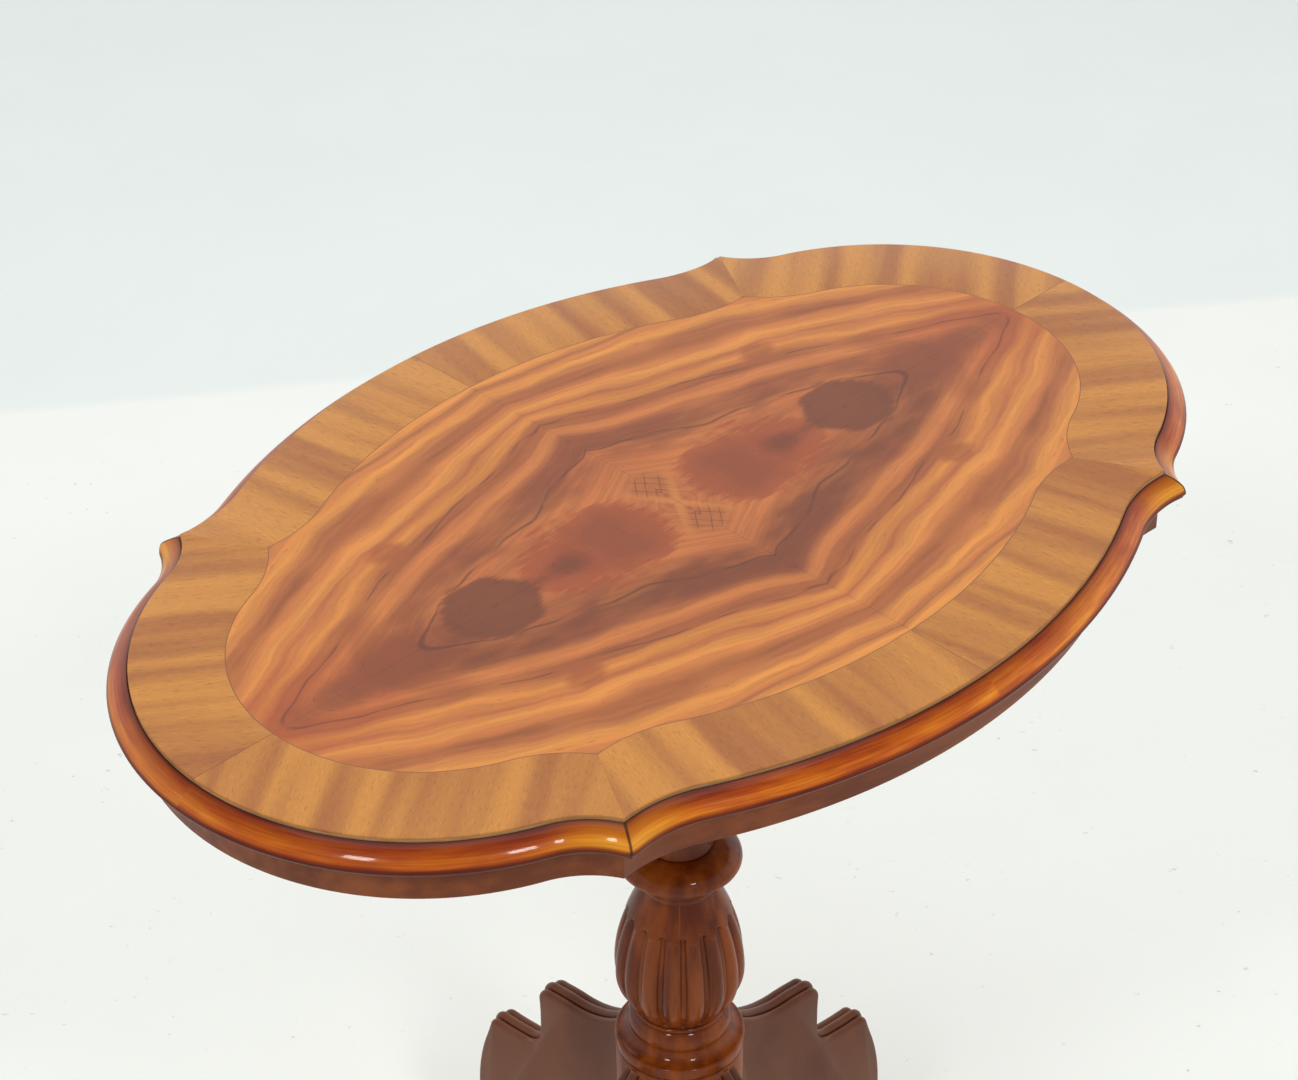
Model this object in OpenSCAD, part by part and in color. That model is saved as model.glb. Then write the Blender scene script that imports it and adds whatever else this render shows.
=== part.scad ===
// Tilt top table: a scalloped, quarter-matched top that tips up on a turned and reeded
// column with four plank legs. Millimetres, +Z up, origin on the floor under the column,
// X along the top's long axis. The top tips about two pins parallel to X.

/* [Top] */
// Height of the top surface above the floor
top_height = 700; // [660:1:760]
// Half length of the veneered surface, to the crown of the end lobe
top_half_length = 365; // [350:1:380]
// Half width of the veneered surface, to the crown of the side lobe
top_half_width = 237.5; // [228:0.5:246]
// Radius of the end lobes
end_lobe_r = 170; // [165:1:175]
// Angle that half an end lobe turns through before its hollow
end_lobe_span = 67.8; // [64:0.1:70]
// Radius of the side lobes
side_lobe_r = 395; // [385:1:405]
// Angle that half a side lobe turns through before its hollow
side_lobe_span = 26.8; // [25:0.1:28]
// Distance of the pointed corners from the YZ plane
cusp_x = 228.5; // [224:0.5:233]
// Distance of the pointed corners from the XZ plane
cusp_y = 185.8; // [182:0.1:190]
// Width of the crossbanding at the lobes
band_w = 54; // [46:1:60]
// X of the crossbanding's inner corners
band_cusp_x = 201; // [196:0.5:206]
// Y of the crossbanding's inner corners
band_cusp_y = 138; // [134:0.5:142]
// Thickness of the veneers
veneer_t = 1.2; // [0.8:0.1:2]
// Thickness of the core board under the veneers
core_t = 16.8; // [15:0.1:20]

/* [Edge moulding] */
// How far the moulding stands out from the veneer
edge_w = 13; // [11:0.5:15]
// Depth of the moulding's foot below the top surface
edge_h = 18; // [17:0.5:20]
// Depth of the quirk between veneer and moulding
quirk_h = 2.6; // [1:0.1:3]

/* [Apron] */
// How far the apron's face stands out from the veneer's edge
apron_out = -1; // [-2:0.5:2]
// Depth of the apron's lower edge below the top surface
apron_drop = 43; // [40:0.5:46]
// Thickness of the apron rails
apron_t = 18; // [14:1:20]

/* [Tilting gear] */
// Distance of the pivot pins from the column's axis
pivot_y = 60; // [56:1:64]
// Width of the tilt block between the bearers
block_w = 116; // [110:1:120]
// Distance of the block's catch edge from the column's axis
block_front = 70; // [64:1:74]
// Gap between the block and each bearer
side_gap = 0.5; // [0.3:0.1:1]
// Gap between the block and the core board
seat_gap = 0.3; // [0.2:0.1:0.5]
// Width of the bearers
bearer_w = 26; // [22:1:30]
// Depth of the bearers
bearer_h = 30; // [29:1:32]
// Length of the bearers
bearer_l = 372; // [340:2:380]
// Radius of the pivot pins
pin_r = 5; // [4:0.5:6]
// Radial clearance of the pins in the bearers
pin_clear = 0.05; // [0.03:0.01:0.08]
// Travel of the catch bolt
bolt_travel = 8; // [6:0.5:9]

/* [Column] */
// Radius of the round ring under the shaft
ring_r = 41; // [39:0.5:42]
// Greatest radius of the reeded vase
vase_r = 43.8; // [42:0.1:44]
// Radius of the vase's neck
vase_neck_r = 23; // [21:0.5:24]
// Radius of the vase's foot
vase_foot_r = 29; // [28:0.5:29.5]
// Number of reeds round the vase
reeds = 16; // [12:1:18]
// Depth of the grooves between the reeds
groove_depth = 3; // [2:0.1:3.5]
// Radius of the column's long tenon
tenon_r = 13.5; // [12:0.5:14]
// Radius of the disc over the leg block
disc_r = 43.6; // [43.2:0.1:44]
// Radius of the round leg block
leg_block_r = 42.9; // [42:0.1:43]

/* [Legs] */
// Thickness of the leg planks
leg_t = 20; // [18:1:22]
// Radius of the big curve of a leg's knee
knee_r = 160; // [155:1:165]
// Radius of the hollow between knee and toe
ankle_r = 30; // [28:1:32]
// Radius of the rolled toe
toe_r = 14; // [13:0.5:15]
// Distance of the toe's centre from the column's axis
toe_reach = 218; // [214:1:222]
// Radius of the arch under a leg
arch_r = 122; // [118:1:124]

/* [Hidden] */
$fn = 96;
east = 1;
west = -1;
north = 1;
south = -1;
glue_line = 0.05;   // between curved faces of neighbouring pieces
big = 600;

// Levels, from the top surface down
core_top = top_height - veneer_t;
core_bottom = core_top - core_t;
edge_bottom = top_height - edge_h;
apron_bottom = top_height - apron_drop;

// Centres of the lobes, on the axes of the top
end_c = [top_half_length - end_lobe_r, 0];
side_c = [0, top_half_width - side_lobe_r];
cusp = [cusp_x, cusp_y];
band_cusp = [band_cusp_x, band_cusp_y];
end_dir = [cos(end_lobe_span), sin(end_lobe_span)];
side_dir = [sin(side_lobe_span), cos(side_lobe_span)];

// A hollow is the circle that leaves a lobe along its tangent and runs through the corner
function hollow_r(start, dir, corner) = (corner - start) * (corner - start) / (2 * (corner - start) * dir);
function hollow(c, r, dir, corner) =
    let (start = c + r * dir, hr = hollow_r(start, dir, corner)) [start + hr * dir, hr];
function bearing(v) = atan2(v[1], v[0]);
function unit(v) = v / norm(v);

end_hollow = hollow(end_c, end_lobe_r, end_dir, cusp);
side_hollow = hollow(side_c, side_lobe_r, side_dir, cusp);
band_end_hollow = hollow(end_c, end_lobe_r - band_w, end_dir, band_cusp);
band_side_hollow = hollow(side_c, side_lobe_r - band_w, side_dir, band_cusp);
mitre_dir = unit(unit(end_hollow[0] - cusp) + unit(side_hollow[0] - cusp));
band_mitre_dir = unit(cusp - band_cusp);

// Points of an arc, from angle a0 to a1, n steps
function arc_points(c, r, a0, a1, n) =
    [for (i = [0:n]) c + r * [cos(a0 + (a1 - a0) * i / n), sin(a0 + (a1 - a0) * i / n)]];

// Tilting gear
pivot_z = core_bottom - bearer_h / 2 + 1;
nose_r = core_bottom - pivot_z - seat_gap;
block_top = core_bottom - seat_gap;
block_bottom = pivot_z - nose_r;
bearer_x = block_w / 2 + side_gap + bearer_w / 2;
pin_in_block = 32;
screw_spacing = 92;
case_w = 40;
case_l = 44;
case_h = 11;
case_wall = 1.5;
case_front = -(block_front + 4);
bolt_w = 12;
bolt_t = 5;
bolt_l = 30;
bolt_z = core_bottom - 5.6;
bolt_clear = 0.4;
strike_t = 1.6;
knob_back = 20;
knob_stem_r = 2.5;

// Column levels
shaft_top = block_bottom;
ring_z = 425.5;
vase_top = 409;
vase_max_z = 333.5;
vase_bottom = 300;
head_z = 378;
reed_phase = 3.75;
collar_top = vase_bottom;
disc_z = 273.4;
leg_block_top = 266;
leg_block_bottom = 142;
tenon_depth = 44;
vase_hole_r = tenon_r + 0.5;

// Legs: u is the distance from the axis, z the height
leg_root = 29;
toe_c = [toe_reach, toe_r];
knee_c = [39, 90];
ankle_x = knee_c[0] + knee_r - 4;
ankle_c = [ankle_x + ankle_r, toe_r + sqrt(pow(ankle_r + toe_r, 2) - pow(ankle_x + ankle_r - toe_reach, 2))];
arch_c = [50, 20];
plate_t = 2.5;
plate_reach = 66;
plate_w = 16;

// ---- Outline of the top -------------------------------------------------------------

// Where the side lobe's last radius crosses the X axis
split_x = -side_c[1] * side_dir[0] / side_dir[1];

// One quarter of the scalloped outline, x and y positive, moved out by o. It's cut along
// the lines that join each lobe's centre to its hollow's, so every arc ends on a flat.
module quarter_slab(er, sr, eh, sh, o, h) {
    intersection() {
        translate(end_c) cylinder(h = h, r = er + o);
        linear_extrude(h) polygon([end_c, end_c + [big, 0], end_c + big * end_dir]);
    }
    intersection() {
        translate(side_c) cylinder(h = h, r = sr + o);
        linear_extrude(h) polygon([[0, 0], [split_x, 0], side_c + big * side_dir, [0, big]]);
    }
    difference() {
        linear_extrude(h) polygon([[split_x, 0], end_c, eh[0], sh[0]]);
        translate([eh[0][0], eh[0][1], -1]) cylinder(h = h + 2, r = eh[1] - o);
        translate([sh[0][0], sh[0][1], -1]) cylinder(h = h + 2, r = sh[1] - o);
    }
}

module outer_quarter(o, h) {
    quarter_slab(end_lobe_r, side_lobe_r, end_hollow, side_hollow, o, h);
}

module panel_quarter(h) {
    quarter_slab(end_lobe_r - band_w, side_lobe_r - band_w, band_end_hollow, band_side_hollow, 0, h);
}

module four_quarters() {
    for (sx = [east, west], sy = [north, south]) scale_xy(sx, sy) children();
}

// Mirrors a piece drawn in the north-east quarter into another quarter
module scale_xy(sx, sy) {
    mirror([sx < 0 ? 1 : 0, 0, 0]) mirror([0, sy < 0 ? 1 : 0, 0]) children();
}

// Everything on the end side of a mitre line, from z = -1 to h + 1
module end_side(corner, dir, h) {
    translate([corner[0], corner[1], -1]) rotate([0, 0, bearing(dir)])
        translate([-big, -big, 0]) cube([2 * big, big, h + 2]);
}

// Everything on the side-lobe side of a mitre line
module flank_side(corner, dir, h) {
    translate([corner[0], corner[1], -1]) rotate([0, 0, bearing(dir)])
        translate([-big, 0, 0]) cube([2 * big, big, h + 2]);
}

// ---- Veneers ------------------------------------------------------------------------

module panel_leaf(sx, sy) {
    color("peru") scale_xy(sx, sy) translate([0, 0, core_top]) panel_quarter(veneer_t);
}

module crossband(h) {
    difference() {
        outer_quarter(0, h);
        translate([0, 0, -1]) panel_quarter(h + 2);
    }
}

module band_end(sx, sy) {
    color("burlywood") scale_xy(sx, sy) translate([0, 0, core_top]) intersection() {
        crossband(veneer_t);
        end_side(band_cusp, band_mitre_dir, veneer_t);
    }
}

module band_side(sx, sy) {
    color("tan") scale_xy(sx, sy) translate([0, 0, core_top]) intersection() {
        crossband(veneer_t);
        flank_side(band_cusp, band_mitre_dir, veneer_t);
    }
}

// ---- Core board, edge moulding and apron --------------------------------------------

module core_board() {
    color("saddlebrown") difference() {
        translate([0, 0, core_bottom]) four_quarters() outer_quarter(0, core_t);
        bearer_screw_set(0);
        catch_screw_set(0);
    }
}

// Section of the moulding: x out from the veneer's edge, y up from the top surface.
// A quirk, a broad crown that falls outwards at 45 degrees, a rounded lip, and a small bead under it.
crown_c = [edge_w - 19.7, -23.35];
crown_r = 22;
tip_r = 1.6;
tip_c = [edge_w - tip_r, -13.94];
bead_c = [edge_w - 3.8, -16.6];
bead_r = 1.4;
edge_section = concat(
    [[glue_line, -edge_h], [glue_line, -quirk_h - 0.3], [0.9, -quirk_h]],
    arc_points(crown_c, crown_r, 68, 27.5, 6),
    arc_points(tip_c, tip_r, 15, -75, 4),
    [[edge_w - 2.3, -15.6]],
    arc_points(bead_c, bead_r, 45, -80, 4),
    [[edge_w - 4.2, -edge_h]]
);

module section_out(r) {
    translate([r, 0]) polygon(edge_section);
}

module section_in(r) {
    translate([r, 0]) mirror([1, 0]) polygon(edge_section);
}

module sweep_arc(c, a0, a1) {
    translate(c) rotate([0, 0, a0]) rotate_extrude(angle = a1 - a0) children();
}

mitre_over = 22;
end_lap = 0.01;   // degrees that two sweeps overlap
side_lap = end_lap / 3;

module edge_end(sx, sy) {
    run_in = bearing(-end_dir) + 360;
    run_out = bearing(cusp - end_hollow[0]) + 360;
    color("chocolate") scale_xy(sx, sy) translate([0, 0, top_height]) {
        sweep_arc(end_c, 0, end_lobe_span + end_lap) section_out(end_lobe_r);
        intersection() {
            sweep_arc(end_hollow[0], run_out - mitre_over, run_in) section_in(end_hollow[1]);
            translate([0, 0, -edge_h]) end_side(cusp, mitre_dir, edge_h);
        }
    }
}

module edge_side(sx, sy) {
    run_in = bearing(-side_dir) + 360;
    run_out = bearing(cusp - side_hollow[0]) + 360;
    color("sienna") scale_xy(sx, sy) translate([0, 0, top_height]) {
        sweep_arc(side_c, 90 - side_lobe_span - side_lap, 90) section_out(side_lobe_r);
        intersection() {
            sweep_arc(side_hollow[0], run_in, run_out + mitre_over) section_in(side_hollow[1]);
            translate([0, 0, -edge_h]) flank_side(cusp, mitre_dir, edge_h);
        }
    }
}

module apron_ring(h) {
    difference() {
        outer_quarter(apron_out, h);
        translate([0, 0, -1]) outer_quarter(apron_out - apron_t, h + 2);
    }
}

apron_h = edge_bottom - apron_bottom;

module apron_end_rail(sx) {
    color("brown") for (sy = [north, south])
        scale_xy(sx, sy) translate([0, 0, apron_bottom]) intersection() {
            apron_ring(apron_h);
            end_side(cusp, mitre_dir, apron_h);
        }
}

module apron_side_rail(sy) {
    color("brown") for (sx = [east, west])
        scale_xy(sx, sy) translate([0, 0, apron_bottom]) intersection() {
            apron_ring(apron_h);
            flank_side(cusp, mitre_dir, apron_h);
        }
}

// Glue blocks tie the apron rails to the board at their middles and beside the corners
module glue_blocks() {
    side_in = top_half_width + apron_out - apron_t;
    end_in = top_half_length + apron_out - apron_t;
    color("wheat") for (s = [east, west]) {
        for (x = [-108, 108])
            translate([x - 18, s * (side_in - 31.5) - 9, core_bottom - 18]) cube([36, 18, 18]);
        translate([s * (end_in - 10.5) - 9, -18, core_bottom - 18]) cube([18, 36, 18]);
    }
}

// ---- Tilting gear -------------------------------------------------------------------

module bearer(s) {
    color("maroon") difference() {
        translate([s * bearer_x - bearer_w / 2, -bearer_l / 2, core_bottom - bearer_h])
            cube([bearer_w, bearer_l, bearer_h]);
        translate([s * bearer_x, pivot_y, pivot_z]) rotate([0, 90, 0])
            cylinder(h = bearer_w + 2, r = pin_r + pin_clear, center = true);
        bearer_screw_set(0);
        for (e = [north, south]) bearer_end_slope(s, e);
    }
}

// The bearers' ends are sloped off so that they don't show under the apron
module bearer_end_slope(s, e) {
    translate([s * bearer_x, e * bearer_l / 2, core_bottom - bearer_h]) rotate([e * 40, 0, 0])
        cube([bearer_w + 2, 60, 24], center = true);
}

module countersunk_screw(shank_r, head_r, length, grow) {
    cylinder(h = length, r = shank_r + grow);
    cylinder(h = head_r - shank_r, r1 = head_r + grow, r2 = shank_r + grow);
}

module bearer_screw_set(grow) {
    for (s = [east, west], i = [-1.5:1:1.5])
        translate([s * bearer_x, i * screw_spacing, core_bottom - bearer_h])
            countersunk_screw(2.2, 4.4, bearer_h + 11, grow);
}

module bearer_screws() {
    color("silver") bearer_screw_set(0);
}

// The block carries the top. Over the pins its edge is round so that the board can turn
// past it; below them it's square, and the upright board comes to rest on that face.
module tilt_block() {
    color("brown") difference() {
        union() {
            translate([-block_w / 2, -block_front, block_bottom])
                cube([block_w, block_front + pivot_y, block_top - block_bottom]);
            translate([0, pivot_y, pivot_z]) rotate([0, 90, 0])
                cylinder(h = block_w, r = nose_r, center = true);
            translate([-block_w / 2, pivot_y, block_bottom]) cube([block_w, nose_r, nose_r]);
        }
        for (s = [east, west])
            translate([s * (block_w / 2 - pin_in_block / 2 + 1), pivot_y, pivot_z]) rotate([0, 90, 0])
                cylinder(h = pin_in_block + 2, r = pin_r, center = true);
        translate([0, 0, block_bottom - 1]) cylinder(h = 40, r = tenon_r);
        strike_hole(1.5);
        translate([0, -block_front, bolt_z])
            cube([bolt_w + 2 * bolt_clear, 30, bolt_t + 2 * bolt_clear], center = true);
        strike_screw_set(0);
    }
}

module strike_hole(deep) {
    translate([-17, -block_front - 1, bolt_z - 5.5]) cube([34, strike_t + 1, 11]);
}

module strike_plate() {
    color("gold") difference() {
        translate([-17, -block_front, bolt_z - 5.5]) cube([34, strike_t, 11]);
        translate([0, -block_front, bolt_z])
            cube([bolt_w + 2 * bolt_clear, 10, bolt_t + 2 * bolt_clear], center = true);
        strike_screw_set(0);
    }
}

module strike_screw_set(grow) {
    for (s = [east, west])
        translate([s * 12.5, -block_front, bolt_z]) rotate([-90, 0, 0])
            countersunk_screw(1.2, 2.2, 10, grow);
}

module strike_screws() {
    color("gold") strike_screw_set(0);
}

module tenon_wedge() {
    color("tan") translate([0, 0, block_top - 24]) rotate([90, 0, 0])
        linear_extrude(2 * tenon_r - 3, center = true)
            polygon([[-0.6, 0], [0.6, 0], [1.8, 24], [-1.8, 24]]);
}

module pivot_pin(s) {
    color("dimgray") translate([s * (block_w / 2 - pin_in_block), pivot_y, pivot_z])
        rotate([0, s * 90, 0]) cylinder(h = pin_in_block + side_gap + bearer_w - 2, r = pin_r);
}

// The catch: a flat case under the board with a bolt that slides along Y
module catch_case() {
    back = case_front - case_l;
    slot_l = bolt_travel + 2 * knob_stem_r + 1;
    color("goldenrod") difference() {
        union() {
            translate([-case_w / 2 + 8, back, core_bottom - case_h]) cube([case_w - 16, case_l, case_h]);
            translate([-case_w / 2, back, core_bottom - 2]) cube([case_w, case_l, 2]);
        }
        translate([-bolt_w / 2 - bolt_clear, back + case_wall, bolt_z - bolt_t / 2 - bolt_clear])
            cube([bolt_w + 2 * bolt_clear, case_l, bolt_t + 2 * bolt_clear]);
        translate([-bolt_w / 2 - bolt_clear, back + case_wall, bolt_z + bolt_t / 2])
            cube([bolt_w + 2 * bolt_clear, case_l - 8, core_bottom - 1 - bolt_z - bolt_t / 2]);
        translate([-knob_stem_r - 0.5, case_front - knob_back - knob_stem_r - 0.5, core_bottom - case_h - 1])
            cube([2 * knob_stem_r + 1, slot_l, case_h - 4]);
        catch_screw_set(0);
    }
}

module catch_screw_set(grow) {
    for (s = [east, west], y = [8, case_l - 8])
        translate([s * (case_w / 2 - 4), case_front - y, core_bottom - 2])
            countersunk_screw(1.3, 2.6, 13, grow);
}

module catch_screws() {
    color("gold") catch_screw_set(0);
}

// A thin bowed leaf above the bolt presses on it, so that it stays where it is put
module catch_leaf_spring() {
    bow_r = 190;
    span = 24;
    rise = bow_r - sqrt(bow_r * bow_r - span * span / 4);
    half = asin(span / 2 / bow_r);
    low = bolt_z + bolt_t / 2 + 0.1;
    color("steelblue") translate([-4, case_front - 27, low + bow_r]) rotate([90, 0, 90])
        linear_extrude(8) polygon(concat(
            arc_points([0, 0], bow_r, 270 - half, 270 + half, 8),
            arc_points([0, 0], bow_r - 0.5, 270 + half, 270 - half, 8)
        ));
}

module catch_bolt() {
    color("khaki") difference() {
        translate([-bolt_w / 2, case_front - bolt_l, bolt_z - bolt_t / 2]) cube([bolt_w, bolt_l, bolt_t]);
        translate([0, case_front - knob_back, bolt_z - 10]) cylinder(h = 20, r = knob_stem_r - 1);
    }
}

module catch_knob() {
    color("gold") translate([0, case_front - knob_back, 0]) {
        translate([0, 0, core_bottom - case_h - 8])
            cylinder(h = bolt_z - bolt_t / 2 - core_bottom + case_h + 8, r = knob_stem_r);
        translate([0, 0, core_bottom - case_h - 8])
            cylinder(h = bolt_z + bolt_t / 2 - core_bottom + case_h + 8, r = knob_stem_r - 1);
        translate([0, 0, core_bottom - case_h - 10]) sphere(r = 5.5);
    }
}

// ---- Column -------------------------------------------------------------------------

// Shaft profile from the long tenon up: neck, ring, cove, swelling shaft, cap, top tenon
ring_up_h = 12.5;
ring_down_h = 7;
ring_in_r = 22;
ring_neck_r = 27;
function half_round(r_in, r_out, z_mid, h, a0, a1, n) =
    [for (i = [0:n]) let (a = a0 + (a1 - a0) * i / n)
        [r_in + (r_out - r_in) * cos(a), z_mid + h * sin(a)]];
shaft_profile = concat(
    [[0, vase_bottom - tenon_depth], [tenon_r, vase_bottom - tenon_depth], [tenon_r, vase_top], [23.4, vase_top]],
    arc_points([32.6, vase_top + 2], 9.2, 186, 128, 5),
    half_round(ring_neck_r, ring_r, ring_z, ring_down_h, -90, 0, 7),
    half_round(ring_in_r, ring_r, ring_z, ring_up_h, 9, 90, 9),
    arc_points([30, ring_z + 21.5], 10, 222, 180, 5),
    [for (i = [1:12]) let (t = i / 12) [20 + 3.2 * sin(180 * pow(t, 0.8)) - 4 * t, ring_z + 22 + 150 * t]],
    [[19, ring_z + 173]],
    arc_points([18.5, ring_z + 177.5], 4.5, -80, 80, 6),
    [[17, ring_z + 182.5]],
    arc_points([17 + 16, ring_z + 185], 16, 180, 106, 7),
    [[30, shaft_top - 12], [32, shaft_top - 10], [32, shaft_top], [tenon_r, shaft_top]],
    [[tenon_r, block_top], [0, block_top]]
);

module column_shaft() {
    color("brown") difference() {
        rotate_extrude() polygon(shaft_profile);
        tenon_wedge();
    }
}

// Radius of the plain vase at height z: a rounded cosine above the belly, a rounded arc below
vase_neck_z = 403.5;
function vase_at(z) = z >= vase_neck_z ? vase_neck_r + 0.05 * pow(z - vase_neck_z, 1.2) : z >= vase_max_z
    ? vase_neck_r + (vase_r - vase_neck_r) * pow(cos(90 * (z - vase_max_z) / (vase_neck_z - vase_max_z)), 0.85)
    : vase_foot_r + (vase_r - vase_foot_r) * pow(1 - pow((vase_max_z - z) / (vase_max_z - vase_bottom), 2.1), 0.85);

// Share of the groove's depth at height z: full below the heads, run out above them
function groove_run(z) = z > head_z + 5 ? 0 : z > head_z - 1 ? (head_z + 5 - z) / 6 : 1;

// Depth at angle a inside one pitch, 0 at the middle of a groove
function groove_shape(a) = abs(a) < 4.2 ? (1 + cos(180 * a / 4.2)) / 2 : 0;

reed_pitch = 360 / reeds;
reed_steps = [0, 1.6, 3.2, 4.8, reed_pitch / 2, reed_pitch - 4.8, reed_pitch - 3.2, reed_pitch - 1.6];
vase_angles = [for (k = [0:reeds - 1], s = reed_steps) reed_phase + k * reed_pitch + s];
vase_levels = [
    vase_bottom, 301.5, 303.5, 306.5, 310, 315, 323, 333, 343, 352, 360, 367, 373,
    head_z - 1, head_z, head_z + 5, 388, 393, 398, vase_neck_z - 1, vase_top
];
function vase_surface(z, s) =
    let (level = vase_at(z),
         from_groove = s > reed_pitch / 2 ? s - reed_pitch : s,
         step = z <= head_z - 1 ? 0.8 : 0)
    level - step - groove_depth * groove_run(z) * groove_shape(from_groove);

module reeded_vase() {
    m = len(vase_angles);
    n = len(vase_levels);
    outer = [for (z = vase_levels, i = [0:m - 1])
        let (a = vase_angles[i], r = vase_surface(z, reed_steps[i % len(reed_steps)]))
        [r * cos(a), r * sin(a), z]];
    inner = [for (z = [vase_bottom, vase_top], a = vase_angles)
        [vase_hole_r * cos(a), vase_hole_r * sin(a), z]];
    top_in = n * m + m;
    walls = [for (j = [0:n - 2], i = [0:m - 1])
        [j * m + i, (j + 1) * m + i, (j + 1) * m + (i + 1) % m, j * m + (i + 1) % m]];
    bore = [for (i = [0:m - 1])
        [n * m + i, n * m + (i + 1) % m, top_in + (i + 1) % m, top_in + i]];
    foot = [for (i = [0:m - 1]) [i, (i + 1) % m, n * m + (i + 1) % m, n * m + i]];
    crown = [for (i = [0:m - 1])
        [(n - 1) * m + i, top_in + i, top_in + (i + 1) % m, (n - 1) * m + (i + 1) % m]];
    color("sienna") polyhedron(points = concat(outer, inner), faces = concat(walls, bore, foot, crown));
}

// Collar, disc and round block in one turning, with four dovetail slots for the legs
block_profile = concat(
    [[0, leg_block_bottom], [leg_block_r - 2, leg_block_bottom], [leg_block_r, leg_block_bottom + 2]],
    [[leg_block_r, leg_block_top - 1.5], [leg_block_r - 1.5, leg_block_top - 0.5]],
    [[leg_block_r - 1.5, leg_block_top + 0.5], [disc_r - 0.6, leg_block_top + 1.2], [disc_r, leg_block_top + 2.2]],
    [[disc_r, disc_z - 0.6], [disc_r - 0.5, disc_z + 1.2]],
    arc_points([disc_r - 0.5, disc_z + 11.3], 9.6, 270, 197, 6),
    half_round(27, 34.8, 287.5, 10.5, -28, 67, 8),
    [[30.7, 297.6], [30.9, 298.8], [30.2, collar_top], [0, collar_top]]
);

module leg_block() {
    color("firebrick") difference() {
        rotate_extrude() polygon(block_profile);
        translate([0, 0, vase_bottom - tenon_depth - 2]) cylinder(h = tenon_depth + 3, r = tenon_r + glue_line);
        for (a = [0:90:270]) rotate([0, 0, a]) translate([0, 0, leg_block_bottom - 1])
            dovetail(leg_block_top - leg_block_bottom - 8);
        spider_screw_set(0);
    }
}

module dovetail(h) {
    linear_extrude(h) polygon([
        [leg_root, -6.5], [leg_block_r, -4.5], [leg_block_r + 1, -4.5],
        [leg_block_r + 1, 4.5], [leg_block_r, 4.5], [leg_root, 6.5]
    ]);
}

// ---- Legs ---------------------------------------------------------------------------

shoulder_z = leg_block_top - 8;
leg_outline = concat(
    [[leg_block_r - 4, leg_block_bottom], [plate_reach + 2, leg_block_bottom]],
    arc_points(arch_c, arch_r, 78, 0, 15),
    [[arch_c[0] + arch_r + 3, 6], [arch_c[0] + arch_r + 9, 0]],
    arc_points(toe_c, toe_r, -90, 81, 12),
    arc_points(ankle_c, ankle_r, 261, 180, 8),
    arc_points(knee_c, knee_r, -11.5, 21, 12),
    arc_points([176.5, 160.5], 7, 12, 92, 5),
    [[165, 168]],
    arc_points([151.5, 192], 22, 268, 180, 7),
    [[129.5, 212]],
    arc_points([121, 222.5], 9, 0, 80, 5),
    arc_points([103, 312.5], 79, 270, 221, 8),
    [[leg_block_r - 4, shoulder_z - 1]]
);

module leg_at(a) {
    rotate([0, 0, a]) union() {
        difference() {
            translate([0, leg_t / 2, 0]) rotate([90, 0, 0]) linear_extrude(leg_t) polygon(leg_outline);
            translate([0, 0, leg_block_bottom - 1])
                cylinder(h = shoulder_z - leg_block_bottom + 20, r = leg_block_r + glue_line);
            rotate([0, 0, -a]) spider_screw_set(0);
        }
        translate([0, 0, leg_block_bottom]) dovetail(shoulder_z - leg_block_bottom - 2);
    }
}

module leg(a) {
    color("saddlebrown") leg_at(a);
}

module spider_plate() {
    color("dimgray") difference() {
        translate([0, 0, leg_block_bottom - plate_t]) union() {
            cylinder(h = plate_t, r = 30);
            for (a = [0:90:270]) rotate([0, 0, a])
                translate([0, -plate_w / 2, 0]) cube([plate_reach, plate_w, plate_t]);
        }
        spider_screw_set(0);
    }
}

module spider_screw_set(grow) {
    for (a = [0:90:270], u = [22, 56]) rotate([0, 0, a])
        translate([u, 0, leg_block_bottom - plate_t]) countersunk_screw(2, 4, 22, grow);
}

module spider_screws() {
    color("silver") spider_screw_set(0);
}

// ---- The assembly -------------------------------------------------------------------

panel_leaf(east, north);  // leaf_ne
panel_leaf(west, north);  // leaf_nw
panel_leaf(west, south);  // leaf_sw
panel_leaf(east, south);  // leaf_se
band_end(east, north);  // band_end_ne
band_end(west, north);  // band_end_nw
band_end(west, south);  // band_end_sw
band_end(east, south);  // band_end_se
band_side(east, north);  // band_side_ne
band_side(west, north);  // band_side_nw
band_side(west, south);  // band_side_sw
band_side(east, south);  // band_side_se
edge_end(east, north);  // edge_end_ne
edge_end(west, north);  // edge_end_nw
edge_end(west, south);  // edge_end_sw
edge_end(east, south);  // edge_end_se
edge_side(east, north);  // edge_side_ne
edge_side(west, north);  // edge_side_nw
edge_side(west, south);  // edge_side_sw
edge_side(east, south);  // edge_side_se
core_board();
apron_end_rail(east);  // apron_right
apron_end_rail(west);  // apron_left
apron_side_rail(north);  // apron_back
apron_side_rail(south);  // apron_front
glue_blocks();
bearer(east);  // bearer_right
bearer(west);  // bearer_left
bearer_screws();
catch_case();
catch_screws();
catch_leaf_spring();
catch_bolt();
catch_knob();
strike_plate();
strike_screws();
tilt_block();
tenon_wedge();
pivot_pin(east);  // pivot_pin_right
pivot_pin(west);  // pivot_pin_left
column_shaft();
reeded_vase();
leg_block();
leg(0);  // leg_right
leg(180);  // leg_left
leg(90);  // leg_back
leg(270);  // leg_front
spider_plate();
spider_screws();
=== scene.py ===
"""Looks for the tilt top table: fine meshes, polished veneers and woods, a pale floor and soft light."""

import math

import bmesh
import bpy
import numpy as np
from mathutils import Matrix, Vector


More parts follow.
